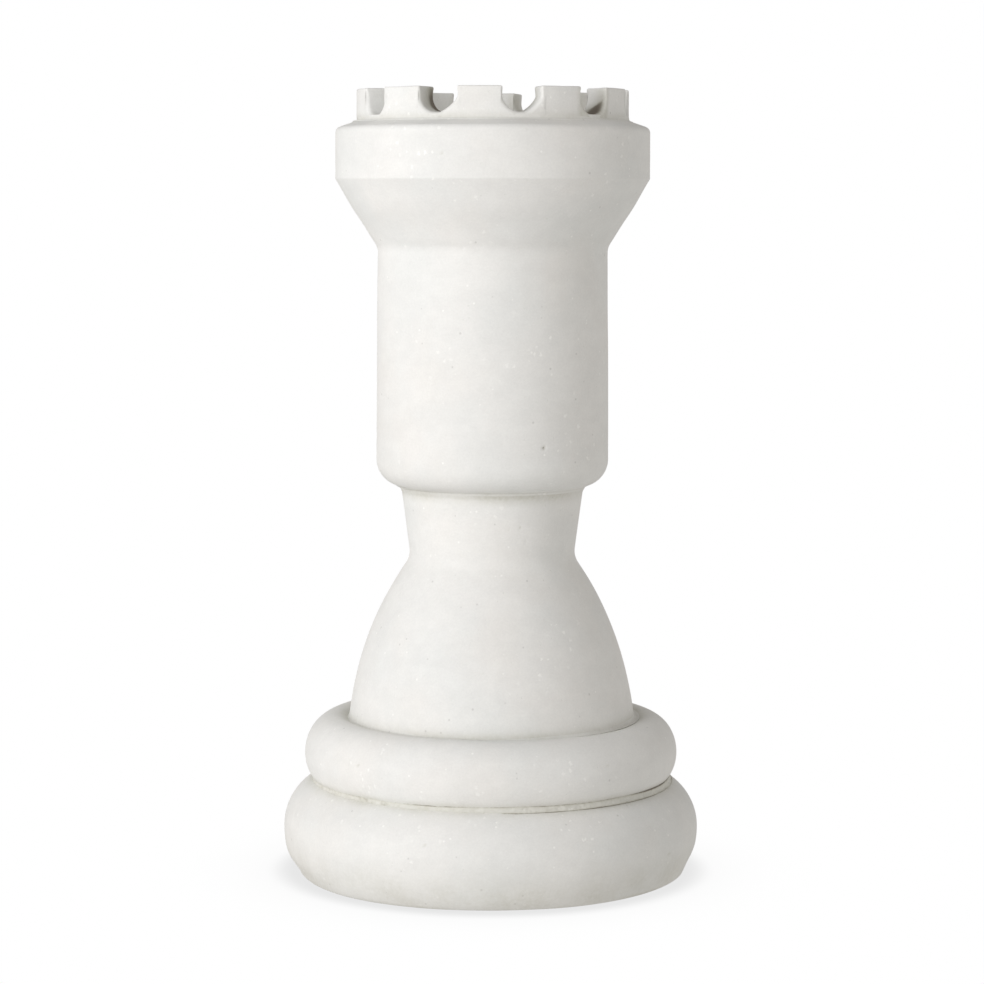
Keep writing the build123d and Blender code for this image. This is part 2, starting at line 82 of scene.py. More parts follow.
# spigots, sockets and bores
SPIGOT, SOCKET, FIT = 9.0, 10.0, 0.5          # height, depth and gap round the spigot
RING_SPIGOT_R, BELL_SPIGOT_R, TOWER_SPIGOT_R, CROWN_SPIGOT_R = 84.0, 92.0, 54.0, 88.0
RING_BORE_R, THROAT_R, WELL_R = 72.0, 42.0, 80.0
RING_LOW = RING_SPIGOT_Z + SPIGOT
BELL_LOW = BELL_SPIGOT_Z + SPIGOT
TOWER_LOW = TOWER_SPIGOT_Z + SPIGOT
CROWN_LOW = CROWN_SPIGOT_Z + SPIGOT
BELL_SEAT = BELL_LOW - 1.0    # the bell stands on a bed of this thickness

# dowels of each joint: radius, radius of their circle, how many, angle of the first from +X,
# lowest and highest level of the joint, and half the length of the hole
BASE_DOWELS = (5.0, 112.0, 4, 0, SEAM_LOW, RING_LOW, 24.5)
BELL_DOWELS = (4.0, 102.0, 4, 45, BELL_SEAT, BELL_LOW, 19.5)
COLLAR_DOWELS = (3.0, 62.5, 4, 0, COLLAR, TOWER_LOW, 19.5)
CROWN_DOWELS = (2.5, 96.5, 5, -90, SHOULDER, CROWN_LOW, 12.5)
DOWEL_GAP = 0.1               # gap round a dowel in its hole


# ---------------------------------------------------------------- outlines
def straight(p, q, step=STEP):
    """Points along a straight line."""
    count = max(1, round(math.dist(p, q) / step))
    return [(p[0] + (q[0] - p[0]) * i / count, p[1] + (q[1] - p[1]) * i / count)
            for i in range(count + 1)]


def arc(centre, rx, rz, start, end, step=STEP):
    """Points along an elliptical arc; angles in degrees from the outward direction."""
    count = max(3, round(math.radians(abs(end - start)) * (rx + rz) / 2 / step))
    angles = [math.radians(start + (end - start) * i / count) for i in range(count + 1)]
    return [(centre[0] + rx * math.cos(a), centre[1] + rz * math.sin(a)) for a in angles]


def bulge(p, q, radius, step=STEP):
    """Points on the arc from p to q that bulges to the right of the way from p to q."""
    dx, dz = q[0] - p[0], q[1] - p[1]
    chord = math.hypot(dx, dz)
    rise = math.sqrt(radius * radius - chord * chord / 4)
    cx = (p[0] + q[0]) / 2 - dz / chord * rise
    cz = (p[1] + q[1]) / 2 + dx / chord * rise
    a0 = math.atan2(p[1] - cz, p[0] - cx)
    a1 = math.atan2(q[1] - cz, q[0] - cx)
    count = max(2, round(chord / step))
    spread = [a0 + (a1 - a0) * i / count for i in range(count + 1)]
    return [(cx + radius * math.cos(a), cz + radius * math.sin(a)) for a in spread]


def rounded(corners, radii, step=STEP):
    """Points along a line through the corners, with each inner corner rounded."""
    out = [corners[0]]
    for i, radius in enumerate(radii, 1):
        a, b, c = (Vector(corners[i + k]) for k in (-1, 0, 1))
        u, v = (a - b).normalized(), (c - b).normalized()
        half = u.angle(v) / 2
        back = radius / math.tan(half)
        centre = b + (u + v).normalized() * (radius / math.sin(half))
        p, q = b + u * back, b + v * back
        out += straight(out[-1], tuple(p), step)[1:]
        a0, a1 = (math.atan2(t.y - centre.y, t.x - centre.x) for t in (p, q))
        turn = (a1 - a0 + math.pi) % (2 * math.pi) - math.pi
        count = max(4, round(abs(turn) * radius / step))
        for k in range(1, count + 1):
            angle = a0 + turn * k / count
            out.append((centre.x + radius * math.cos(angle), centre.y + radius * math.sin(angle)))
    return out + straight(out[-1], corners[-1], step)[1:]


def belly(cx, cz, rx, rz, power, count=22):
    """Quarter of a rounded shape, from its low middle to its side; power 2 is an ellipse, 1 is straight."""
    quarter = [math.pi / 2 * (1 - i / count) for i in range(count + 1)]
    return [(cx + rx * max(0.0, math.cos(a)) ** (2 / power), cz + rz * math.sin(a) ** (2 / power))
            for a in quarter]


def joined(*runs):
    """One list from several, without the points that repeat."""
    out = []
    for run in runs:
        for point in run:
            if not out or math.dist(out[-1], point) > 0.01:
                out.append(point)
    return out


def circle(radius, count, start=0.0):
    """Evenly spaced places on a circle; the angle is in degrees from +X."""
    angles = [math.radians(start + 360.0 * i / count) for i in range(count)]
    return [(radius * math.cos(a), radius * math.sin(a)) for a in angles]


# ---------------------------------------------------------------- surface of hand-finished cast stone
def wobble(p, size, seed):
    """Smooth noise from -1 to 1 with features of about this size."""
    return noise.noise(Vector(p) / size + Vector((seed, seed * 1.7, seed * 0.6)))


def unevenness(p, seed):
    """How far the stone stands proud of its true shape."""
    return (0.45 * wobble(p, 75.0, seed) + 0.09 * wobble(p, 28.0, seed + 5)
            + 0.025 * wobble(p, 7.0, seed + 9))


def turned(angle, other):
    """How far one angle is past another, from minus half a turn to half a turn."""
    return (angle - other + math.pi) % (2 * math.pi) - math.pi


def pit(angle, z, radius, depth):
    """A small hole or dent; the angle is in degrees from -Y towards +X."""
    return (math.radians(angle), z, radius, depth)


def scattered(rng, count, low, high):
    """Small pits all over a height range."""
    return [pit(rng.uniform(0, 360), rng.uniform(low, high), rng.uniform(0.9, 1.9), rng.uniform(0.25, 0.8))
            for _ in range(count)]


# ---------------------------------------------------------------- meshes
def made(name, verts, faces, sharp=38.0):
    """A smooth-shaded object from points in metres and faces."""
    mesh = bpy.data.meshes.new(name)
    mesh.from_pydata(verts, [], faces)
    mesh.validate()
    mesh.polygons.foreach_set("use_smooth", [True] * len(mesh.polygons))
    mesh.set_sharp_from_angle(angle=math.radians(sharp))
    mesh.update()
    obj = bpy.data.objects.new(name, mesh)
    bpy.context.scene.collection.objects.link(obj)
    return obj


def wrapped(columns, rows):
    """Faces of a closed band of closed columns, each with this many points."""
    return [(j * rows + i, k * rows + i, k * rows + m, j * rows + m)
            for j, k in ((j, (j + 1) % columns) for j in range(columns))
            for i, m in ((i, (i + 1) % rows) for i in range(rows))]


def outward(loop, shown):
    """For each point of a closed outline, its normal and how much of the unevenness it takes."""
    rows = len(loop)
    run = [0.0]
    for i in range(1, shown):
        run.append(run[-1] + math.dist(loop[i - 1], loop[i]))
    normals, weight = [], []
    for i in range(rows):
        (x0, z0), (x1, z1) = loop[i - 1], loop[(i + 1) % rows]
        length = math.hypot(x1 - x0, z1 - z0) or 1.0
        normals.append(((z1 - z0) / length, -(x1 - x0) / length))
        weight.append(min(1.0, run[i] / FADE, (run[-1] - run[i]) / FADE) if i < shown else 0.0)
    return normals, weight


def lathe(name, outline, hidden, turns, seed, pits=(), lean=None):
    """A turned piece: the visible outline is slightly uneven, and the hidden one is true.
    lean gives how far the stone stands out at an angle and a level."""
    loop = joined(outline, hidden)
    if math.dist(loop[0], loop[-1]) < 0.01:
        loop.pop()
    normals, weight = outward(loop, len(outline))
    verts = []
    for j in range(turns):
        a = 2 * math.pi * j / turns
        s, c = math.sin(a), -math.cos(a)
        near = [q for q in pits if abs(turned(q[0], a)) < 0.2]
        for i, (r, z) in enumerate(loop):
            if weight[i]:
                out = unevenness((r * s, r * c, z), seed)
                if lean:
                    out += lean(a, z)
                for at, level, size, depth in near:
                    d = math.hypot(turned(at, a) * r, level - z) / size
                    if d < 1:
                        out -= depth * (1 - d * d) ** 2
                out *= weight[i]
                r, z = r + normals[i][0] * out, z + normals[i][1] * out
            verts.append((r * s * MM, r * c * MM, z * MM))
    return made(name, verts, wrapped(turns, len(loop)))


def bored(obj, holes):
    """The piece with round upright holes cut in it; each is (x, y, radius, low, high)."""
    verts, faces = [], []
    count = 40
    for x, y, radius, low, high in holes:
        base = len(verts)
        for level in (low, high):
            for px, py in circle(radius, count):
                verts.append(((x + px) * MM, (y + py) * MM, level * MM))
        faces.append(tuple(base + i for i in reversed(range(count))))
        faces.append(tuple(base + count + i for i in range(count)))
        for i in range(count):
            k = (i + 1) % count
            faces.append((base + i, base + k, base + count + k, base + count + i))
    tool = made(obj.name + "_cutter", verts, faces)
    cut = obj.modifiers.new("holes", "BOOLEAN")
    cut.object, cut.operation, cut.solver = tool, "DIFFERENCE", "MANIFOLD"
    depsgraph = bpy.context.evaluated_depsgraph_get()
    mesh = bpy.data.meshes.new_from_object(obj.evaluated_get(depsgraph))
    obj.modifiers.clear()
    obj.data = mesh
    bpy.data.objects.remove(tool)
    return obj


def hole_ring(radius, ring, count, start, low, high):
    """Holes that are evenly spaced on a circle."""
    return [(x, y, radius, low, high) for x, y in circle(ring, count, start)]


def dowel_holes(radius, ring, count, start, low, high, half):
    """Holes for the dowels of a joint."""
    middle = (low + high) / 2
    return hole_ring(radius + DOWEL_GAP, ring, count, start, middle - half, middle + half)


# ---------------------------------------------------------------- crown
# A notch: the angle of its middle, its half widths on the outer face (left and right) and on the inner
# face, how far each side curves in by the floor, how round each curve is, the floor's level, how dark the
# painted shade and grime on the walls are, and where between the outer face (0) and the well (1) they are
# darkest.
Notch = namedtuple("Notch", "middle out_l out_r in_l in_r lean_l lean_r curve_l curve_r floor stain worst_at")
KNEE = CROWN_TOP - 7.5        # the sides of a notch are upright above this level
NOTCH_STEP = 0.9              # spacing of the points round a notch
CORNER_R = 1.6                # rounding of a merlon's upper corners


def notch_path(notch, ends):
    """Upper edge of the unrolled outer face, from the middle of a merlon to the middle of the next."""
    left, right = -notch.out_l + notch.lean_l, notch.out_r - notch.lean_r
    return joined(
        rounded([(ends[0], CROWN_TOP), (-notch.out_l, CROWN_TOP), (-notch.out_l, KNEE)],
                [CORNER_R], NOTCH_STEP),
        belly(left, KNEE, -notch.lean_l, notch.floor - KNEE, notch.curve_l)[::-1],
        straight((left, notch.floor), (right, notch.floor), NOTCH_STEP),
        belly(right, KNEE, notch.lean_r, notch.floor - KNEE, notch.curve_r),
        rounded([(notch.out_r, KNEE), (notch.out_r, CROWN_TOP), (ends[1], CROWN_TOP)],
                [CORNER_R], NOTCH_STEP))


def well_angle(notch, u, ends):
    """Angle from the notch's middle at which a place on the outer face comes out in the well."""
    left = u < 0
    stretch = notch.in_l / notch.out_l if left else notch.in_r / notch.out_r
    limit = (notch.out_l if left else notch.out_r) + 3.0
    if abs(u) <= limit:
        return math.asin(u * stretch / WELL_R)
    end = abs(ends[0] if left else ends[1])
    full = math.asin(min(1, end / CROWN_R))
    share = (abs(u) - limit) / max(end - limit, 0.01)
    edge = math.asin(limit * stretch / WELL_R)
    return math.copysign(edge + (full - edge) * share, u)


def crown_columns(notches):
    """The crown's columns: angle of the notch's middle, place and level on the unrolled outer face,
    normal of the edge there, radius that eases the edge, and angle in the well."""
    columns = []
    count = len(notches)
    for i, notch in enumerate(notches):
        before = notches[i - 1].middle - (360.0 if i == 0 else 0.0)
        after = notches[(i + 1) % count].middle + (360.0 if i == count - 1 else 0.0)
        ends = [CROWN_R * math.sin(math.radians((d - notch.middle) / 2)) for d in (before, after)]
        path = notch_path(notch, ends)
        for k, (u, z) in enumerate(path[:-1]):
            (ua, za), (ub, zb) = path[max(k - 1, 0)], path[k + 1]
            length = math.hypot(ub - ua, zb - za)
            normal = ((zb - za) / length, -(ub - ua) / length)
            ease = 1.1 + 2.2 * min(1.0, (CROWN_TOP - z) / 6.0)
            columns.append((math.radians(notch.middle), u, z, normal, ease, well_angle(notch, u, ends)))
    return columns


def crown_column(middle, u, z, n, ease, inner):
    """Points of one column, up the outer face, over the edge and down the well, and how much of the
    stone's unevenness each takes."""
    line, shown = [], []

    def at(r, du, level, weight):
        outer = math.asin(max(-1, min(1, (u + du) / CROWN_R)))
        inside = inner + du / WELL_R
        share = (1 / WELL_R - 1 / r) / (1 / WELL_R - 1 / CROWN_R)
        a = middle + inside + (outer - inside) * share
        line.append((r * math.sin(a), -r * math.cos(a), level))
        shown.append(weight)

    steps, bends = 12, 6
    soft = ease * 1.35
    for k in range(steps):
        share = k / steps
        at(CROWN_R, n[0] * ease, CROWN_LOW + (z + n[1] * ease - CROWN_LOW) * share, min(1.0, k / 3))
    for k in range(bends + 1):
        b = math.pi / 2 * (1 - k / bends)
        fall = ease * (1 - math.cos(b))
        at(CROWN_R - ease + ease * math.sin(b), n[0] * fall, z + n[1] * fall, 1.0)
    for k in range(1, steps):
        share = k / steps
        at((CROWN_R - ease) + (WELL_R + soft - CROWN_R + ease) * share, 0, z, 1.0)
    for k in range(bends + 1):
        b = math.pi / 2 * k / bends
        fall = ease * (1 - math.cos(b))
        at(WELL_R + soft - soft * math.sin(b), n[0] * fall, z + n[1] * fall, 1.0)
    for k in range(1, steps + 1):
        share = k / steps
        level = z + n[1] * ease + (CROWN_LOW - z - n[1] * ease) * share
        at(WELL_R, n[0] * ease, level, 1.0 - max(0.0, (k - 9) / 3))
    for r, level in ((WELL_R, CROWN_SPIGOT_Z), (CROWN_SPIGOT_R, CROWN_SPIGOT_Z), (CROWN_SPIGOT_R, CROWN_LOW)):
        at(r, n[0] * ease, level, 0.0)
    return line, shown


def crown(name, notches, seed):
    """Battlement ring with round-bottomed notches through its wall."""
    columns = [crown_column(*column) for column in crown_columns(notches)]
    verts = [(x * MM, y * MM, z * MM) for line, _ in columns for x, y, z in line]
    weight = [share for _, shown in columns for share in shown]
    obj = made(name, verts, wrapped(len(columns), len(columns[0][0])), 60.0)
    moved = []
    for v, share in zip(obj.data.vertices, weight):
        p = v.co / MM
        out = unevenness(p, seed) * 0.8 + 0.16 * wobble(p, 11.0, seed + 3)
        moved.extend(v.co + v.normal * (out * share * MM))
    obj.data.vertices.foreach_set("co", moved)
    obj.data.update()
    return obj


# ---------------------------------------------------------------- shader nodes
def node(tree, kind, inputs=None, **settings):
    """A shader node with its settings and its inputs, which are values or other nodes' sockets."""
    n = tree.nodes.new(kind)
    for key, value in settings.items():
        setattr(n, key, value)
    for key, value in (inputs or {}).items():
        feed(tree, n.inputs[key], value)
    return n


def feed(tree, socket, value):
    """Links a socket to another node's, or sets it to a value."""
    if isinstance(value, bpy.types.NodeSocket):
        tree.links.new(value, socket)
    else:
        socket.default_value = value


def clamped(tree, value, low, high, to_low=0.0, to_high=1.0):
    """A value spread from one range to another, smoothly, and held inside it."""
    return node(tree, "ShaderNodeMapRange", {"Value": value, "From Min": low, "From Max": high,
                                             "To Min": to_low, "To Max": to_high},
                interpolation_type="SMOOTHSTEP").outputs["Result"]


def maths(tree, operation, a, b):
    """One sum on two values."""
    return node(tree, "ShaderNodeMath", {0: a, 1: b}, operation=operation).outputs[0]


def times(tree, a, b):
    """Product of two values."""
    return maths(tree, "MULTIPLY", a, b)


def plus(tree, a, b):
    """Sum of two values."""
    return maths(tree, "ADD", a, b)


def blend(tree, share, a, b, mode="MIX"):
    """Mix of two colours."""
    n = tree.nodes.new("ShaderNodeMix")
    n.data_type, n.blend_type = "RGBA", mode
    for socket, value in ((n.inputs[0], share), (n.inputs[6], a), (n.inputs[7], b)):
        feed(tree, socket, value)
    return n.outputs[2]


def toned(tree, colour, level):
    """The colour made lighter or darker by a factor."""
    grey = node(tree, "ShaderNodeCombineColor", {0: level, 1: level, 2: level}).outputs[0]
    return blend(tree, 1.0, colour, grey, "MULTIPLY")


def shifted(tree, at, offset):
    """The coordinates moved by the same length on each axis."""
    return node(tree, "ShaderNodeVectorMath", {0: at, 1: (offset,) * 3}, operation="ADD").outputs[0]


def scaled(tree, at, scale):
    """The coordinates multiplied by a factor on each axis."""
    return node(tree, "ShaderNodeMapping", {"Vector": at, "Scale": scale}).outputs[0]


def grain(tree, at, scale, detail=3.0, rough=0.55, offset=0.0):
    """Noise from 0 to 1 in features of 1/scale metres."""
    return node(tree, "ShaderNodeTexNoise", {"Vector": shifted(tree, at, offset), "Scale": scale,
                                             "Detail": detail, "Roughness": rough}).outputs["Fac"]


def specks(tree, at, scale, size, share, offset=0.0):
    """1 in small round specks, 0 elsewhere: a share of the cells has one."""
    cells = node(tree, "ShaderNodeTexVoronoi", {"Vector": shifted(tree, at, offset), "Scale": scale,
                                                "Randomness": 1.0})
    near = clamped(tree, cells.outputs["Distance"], size, size * 0.45)
    pick = node(tree, "ShaderNodeSeparateColor", {0: cells.outputs["Color"]}).outputs[0]
    return times(tree, near, maths(tree, "LESS_THAN", pick, share))


def chipped(tree, at):
    """Coordinates bent by noise, so that specks on them come out as angular chips."""
    bend = node(tree, "ShaderNodeTexNoise", {"Vector": at, "Scale": 420.0, "Detail": 2.0}).outputs["Color"]
    shift = node(tree, "ShaderNodeVectorMath", {0: bend, 1: (0.004, 0.004, 0.004)}, operation="MULTIPLY")
    return node(tree, "ShaderNodeVectorMath", {0: at, 1: shift.outputs[0]}, operation="ADD").outputs[0]


# ---------------------------------------------------------------- materials
def empty_tree(owner):
    """The node tree of a material or a world, cleared."""
    owner.use_nodes = True
    owner.node_tree.nodes.clear()
    return owner.node_tree


def new_material(name):
    """A material with an empty surface shader, its tree and the coordinates of the object."""
    mat = bpy.data.materials.new(name)
    tree = empty_tree(mat)
    at = node(tree, "ShaderNodeTexCoord").outputs["Object"]
    shader = node(tree, "ShaderNodeBsdfPrincipled")
    node(tree, "ShaderNodeOutputMaterial", {"Surface": shader.outputs[0]})
    return mat, tree, at, shader


def embossed(tree, shader, height, strength, distance):
    """Gives the surface fine relief."""
    bump = node(tree, "ShaderNodeBump", {"Height": height, "Strength": strength, "Distance": distance})
    tree.links.new(bump.outputs[0], shader.inputs["Normal"])


def clouded(tree, at, tint):
    """Colour of clean stone: faint warm and cool clouds, dust, streaks of tone that are partly painted sheen,
    and a sugary grain.
    """
    pale, warm, cool = (tuple(c * t for c, t in zip(colour, tint)) + (1,) for colour in
                        ((0.796, 0.795, 0.768), (0.792, 0.780, 0.745), (0.764, 0.773, 0.750)))
    colour = blend(tree, clamped(tree, grain(tree, at, 11, 3, 0.5), 0.38, 0.72), pale, cool)
    warmth = clamped(tree, grain(tree, at, 14, 3, 0.5, 7.3), 0.45, 0.75)
    colour = blend(tree, times(tree, warmth, 0.75), colour, warm)
    colour = toned(tree, colour, clamped(tree, grain(tree, at, 95, 4, 0.65, 2.1), 0.32, 0.70, 0.982, 1.012))
    # Faint horizontal streaks, lighter and darker: tone, partly painted sheen of smoothed stone.
    flat = scaled(tree, at, (1.0, 1.0, 2.6))
    colour = toned(tree, colour, clamped(tree, grain(tree, flat, 24, 4, 0.55, 6.6), 0.36, 0.68, 0.984, 1.012))
    return toned(tree, colour, clamped(tree, grain(tree, at, 620, 3, 0.7, 4.4), 0.30, 0.72, 0.974, 1.016))


def flecked(tree, at, colour):
    """The colour with bright flecks, patches of pale chips and a few grey specks."""
    where = clamped(tree, grain(tree, at, 17, 3, 0.6, 12.5), 0.50, 0.66)
    chips = times(tree, where, specks(tree, chipped(tree, at), 190, 0.34, 0.26, 5.2))
    bright = plus(tree, specks(tree, at, 210, 0.24, 0.045), chips)
    colour = blend(tree, times(tree, bright, 0.70), colour, (0.92, 0.92, 0.89, 1))
    grey = specks(tree, at, 165, 0.20, 0.05, 3.7)
    return blend(tree, times(tree, grey, 0.34), colour, (0.40, 0.39, 0.37, 1))


def shaded_and_dirtied(tree, at, colour):
    """The colour under the painted shade of creases and recesses and under the grime, which the mesh's
    attribute marks; strong marks are darker.
    """
    # worn holds the attribute's mark: painted shade in creases, pits and notch walls, with some grime; here
    # it is not wear.
    worn = node(tree, "ShaderNodeAttribute", attribute_name="dirt_and_shade").outputs["Fac"]
    patchy = clamped(tree, grain(tree, at, 60, 5, 0.65, 9.2), 0.25, 0.70, 0.45, 1.0)
    crumbs = clamped(tree, grain(tree, at, 330, 3, 0.6, 3.1), 0.30, 0.66, 0.55, 1.0)
    # Strong marks turn dark brown: painted deep shade in the notches and creases, with some grime.
    deep_shade_and_grime = clamped(tree, worn, 0.50, 1.0)
    shade_and_grime_colour = blend(tree, deep_shade_and_grime, (0.52, 0.512, 0.435, 1), (0.21, 0.182, 0.150, 1))
    cover = plus(tree, times(tree, worn, times(tree, patchy, crumbs)), times(tree, worn, 0.30))
    return blend(tree, plus(tree, cover, times(tree, deep_shade_and_grime, 0.40)), colour, shade_and_grime_colour)


def stone(name, tint=(1.0, 1.0, 1.0), fine=0.35, coarse=0.35):
    """White cast stone; fine and coarse are the depths of its relief."""
    mat, tree, at, shader = new_material(name)
    tree.links.new(shaded_and_dirtied(tree, at, flecked(tree, at, clouded(tree, at, tint))), shader.inputs["Base Color"])
    roughness = clamped(tree, grain(tree, at, 300, 3, 0.6, 1.2), 0.3, 0.7, 0.72, 0.90)
    tree.links.new(roughness, shader.inputs["Roughness"])
    shader.inputs["Specular IOR Level"].default_value = 0.35
    height = plus(tree, times(tree, grain(tree, at, 480, 4, 0.65, 5.5), fine),
                  times(tree, grain(tree, at, 110, 3, 0.6, 8.8), coarse))
    height = plus(tree, height, times(tree, specks(tree, at, 240, 0.22, 0.10, 6.1), -0.9))
    embossed(tree, shader, height, 0.55, 0.00035)
    return mat


def metal(name, colour, dull, low, high, streak):
    """Cut or plated metal: streaked roughness, faint stains and fine scratches."""
    mat, tree, at, shader = new_material(name)
    lines = grain(tree, scaled(tree, at, streak), 400, 4, 0.6)
    cloud = grain(tree, at, 55, 4, 0.6, 3.3)
    mixed = blend(tree, clamped(tree, cloud, 0.35, 0.75), colour + (1,), dull + (1,))
    tree.links.new(mixed, shader.inputs["Base Color"])
    shader.inputs["Metallic"].default_value = 1.0
    tree.links.new(clamped(tree, lines, 0.3, 0.7, low, high), shader.inputs["Roughness"])
    embossed(tree, shader, lines, 0.25, 0.0001)
    return mat


def moulded(name, colour, worn, low, high, scale):
    """Moulded rubber or plastic: fine texture with dusty, rubbed patches."""
    mat, tree, at, shader = new_material(name)
    cloud = clamped(tree, grain(tree, at, 70, 5, 0.65), 0.45, 0.75)
    mixed = blend(tree, times(tree, cloud, 0.6), colour + (1,), worn + (1,))
    tree.links.new(mixed, shader.inputs["Base Color"])
    roughness = clamped(tree, grain(tree, at, scale, 3, 0.6, 2.0), 0.3, 0.7, low, high)
    tree.links.new(roughness, shader.inputs["Roughness"])
    embossed(tree, shader, grain(tree, at, scale, 3, 0.6, 5.0), 0.35, 0.0002)
    return mat


# ---------------------------------------------------------------- painted shade and grime in the creases
def shaded_and_soiled(obj, creases, also=None, pits=()):
    """Marks how much painted shade and grime each point takes; a crease is (radius, level, reach, strength),
    and pits take painted shade and grime.
    """
    # This point attribute carries painted shade in creases and recesses together with real grime.
    layer = obj.data.attributes.new("dirt_and_shade", "FLOAT", "POINT")
    values = []
    for v in obj.data.vertices:
        p = v.co / MM
        r = math.hypot(p.x, p.y)
        worst = also(p, r) if also else 0.0
        # Each crease darkens the points near it: painted shade where the stones meet, with some grime.
        for radius, level, reach, strength in creases:
            d = math.hypot(r - radius, p.z - level)
            if d < 3 * reach:
                patch = 0.75 + 0.5 * wobble(p, 30.0, radius)
                worst = max(worst, strength * patch * math.exp(-(d / reach) ** 2))
        # Pits are darkened inside: painted shade in the hollow, with some grime.
        for angle, level, size, depth in pits:
            if abs(p.z - level) < size:
                d = math.hypot(turned(math.atan2(p.x, -p.y), angle) * r, p.z - level) / size
                worst = max(worst, min(1.0, 0.8 * depth) * (1.0 - d))
        values.append(min(1.0, max(0.0, worst)))
    layer.data.foreach_set("value", values)


def finished(obj, material, nodes):
    """Gives a piece its material and its body, and hides the CAD nodes it stands for."""
    obj.data.materials.clear()
    obj.data.materials.append(material)
    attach(obj, "root")
    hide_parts(*nodes)
    return obj


STONE = stone("cast_stone")
MORTAR = stone("seam_mortar", (0.87, 0.865, 0.83), 1.2, 1.6)


# ---------------------------------------------------------------- lower base ring
WAIST = BASE_LOW + 33.8       # level of the ring's widest girth
SKIRT = BASE_LOW - 1.5        # the stone hangs almost to the ground round its feet
TUCK_R, TUCK_Z = 18.0, 39.0   # the side tucks in below the waist on this ellipse
ROUND_R = 42.0                # and rounds over above it
RECESS_R, RECESS_TOP = 106.0, 6.5             # recess for the cover
HOLLOW_R, HOLLOW_TOP = 88.0, 44.0             # chamber of the bottom plate
FEET_R = 127.0                # radius of the circle that the feet stand on


def off_centre(a, z):
    """The rings were set a little to the left of the bell's axis."""
    return -0.8 * math.sin(a)


def rubbed_side(a, z):
    """Flats rubbed low on the right and the left of the base when the ring was dressed."""
    out = off_centre(a, z)
    for angle, depth, level, reach in ((99.0, 2.4, 9.0, 9.5), (-84.0, 3.8, 4.5, 9.0)):
        side = turned(a, math.radians(angle))
        out -= depth * math.exp(-(side / 0.5) ** 2) * math.exp(-((z - level) / reach) ** 2)
    return out


def lower_base_ring(rng):
    """Base casting, with holes for the dowels, the cover's screws, the feet and the feet's screws."""
    tuck_start = math.degrees(math.asin((SKIRT - WAIST) / TUCK_Z))
    round_end = math.degrees(math.asin((SEAM_LOW - WAIST) / ROUND_R))
    skirt_r = BASE_R - TUCK_R + TUCK_R * math.cos(math.radians(tuck_start)) - 0.5
    top_r = BASE_R - ROUND_R + ROUND_R * math.cos(math.radians(round_end))
    outline = joined(
        straight((RECESS_R, SKIRT), (skirt_r, SKIRT), 4.0),
        arc((BASE_R - TUCK_R, WAIST), TUCK_R, TUCK_Z, tuck_start + 0.8, 0),
        arc((BASE_R - ROUND_R, WAIST), ROUND_R, ROUND_R, 0, round_end),
        straight((top_r, SEAM_LOW), (132.0, SEAM_LOW), 3.0))
    socket_r, socket_low = RING_SPIGOT_R + FIT, SEAM_LOW - SOCKET
    hidden = [(socket_r, SEAM_LOW), (socket_r, socket_low), (RING_BORE_R, socket_low),
              (RING_BORE_R, HOLLOW_TOP), (HOLLOW_R, HOLLOW_TOP), (HOLLOW_R, RECESS_TOP),
              (RECESS_R, RECESS_TOP)]
    seen_pits = [pit(63.0, 30.0, 2.2, 1.5), pit(-12, 50, 1.6, 0.7), pit(38.0, 26.0, 1.7, 0.6)]
    base = lathe("lower_base_ring_stone", outline, hidden, 420, 1.0,
                 scattered(rng, 70, 6, 70) + seen_pits, rubbed_side)
    base = bored(base, dowel_holes(*BASE_DOWELS) + hole_ring(3.5, 97.0, 6, 0, 5.5, 19.0)
                 + hole_ring(16.4, FEET_R, 4, 45, -1.0, 8.0) + hole_ring(4.0, FEET_R, 4, 45, 7.5, 22.0))
    # Painted shade and olive grime in the crease under the seam; darker towards the bottom edge and the
    # underside; painted shade and grime in the seen pits.
    shaded_and_soiled(base, [(139.5, SEAM_LOW, 6.0, 0.62), (157.0, 7.0, 19.0, 0.52), (152.0, 1.0, 5.0, 0.60),
                  (135.0, 1.0, 14.0, 0.5)], None, seen_pits)
    finished(base, STONE, ["lower_base_ring"])


# ---------------------------------------------------------------- mortar between the two base rings
CREST_R, RING_WAIST, RING_TUCK = 121.5, RING_LOW + 19.0, 28.0
ROLL_R = RING_R - CREST_R     # how far the upper ring's round edge stands out from its crest
FILL_LOW, FILL_HIGH = SEAM_LOW - 1.3, SEAM_HIGH + 1.9         # the mortar laps onto both rings
FILL_MID = (FILL_LOW + FILL_HIGH) / 2


def crumbled(a, z):
    """Broken, hollowed face of the mortar, with more of it lost on the right."""
    p = (SEAM_R * math.sin(a), -SEAM_R * math.cos(a), z)
    near = math.exp(-((z - FILL_MID) / 2.4) ** 2)
    lost = math.exp(-((math.degrees(a) - 78.0) / 42.0) ** 2)
    broken = 0.60 * wobble(p, 6.0, 21) + 0.50 * wobble(p, 1.9, 33)
    return near * (broken - 0.35 - 0.5 * lost) - 0.25 - 0.2 * lost


def seam_dirt(p, r):
    """Grey, patchy grime on the face of the mortar, most of it on the left of the front."""
    side = math.exp(-((math.degrees(math.atan2(p.x, -p.y)) + 40.0) / 50.0) ** 2)
    return (0.14 + 0.40 * side) * (0.7 + wobble(p, 9.0, 51) + 0.7 * wobble(p, 2.5, 57))


